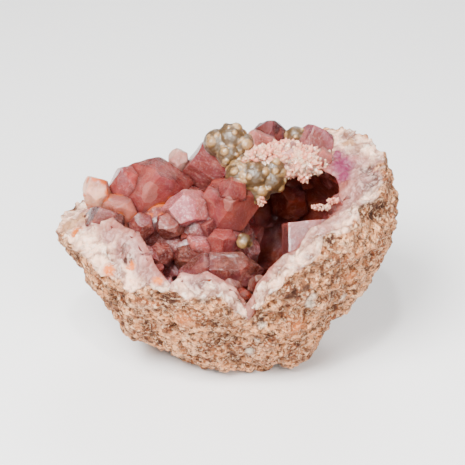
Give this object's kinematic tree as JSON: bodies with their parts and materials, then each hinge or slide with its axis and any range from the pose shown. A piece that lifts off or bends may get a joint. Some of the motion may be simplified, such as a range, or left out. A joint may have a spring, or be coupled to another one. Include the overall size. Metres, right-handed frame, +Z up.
{
  "type": "amethyst geode",
  "caption": "Broken geode: a lumpy rock bowl open at the top and front, lined with pink and purple quartz crystals and topped with balls of calcite.",
  "frame": {"origin": "on the resting plane, under the middle of the bounding box", "axes": "+X along the longest side, to the right seen from the low front edge; +Y to the back, towards the roofed side of the hollow; +Z up"},
  "size_m": [0.0982, 0.0744, 0.0674],
  "materials": {
    "rock": "rough, granular",
    "quartz": "glassy, translucent",
    "calcite": "satin, translucent"
  },
  "bodies": {
    "root": {"geode_shell": "rock", "amethyst_crust": "quartz", "calcite_cluster_upper": "calcite", "calcite_cluster_lower": "calcite", "calcite_ball": "calcite", "calcite_knob": "calcite"}
  },
  "joints": []
}
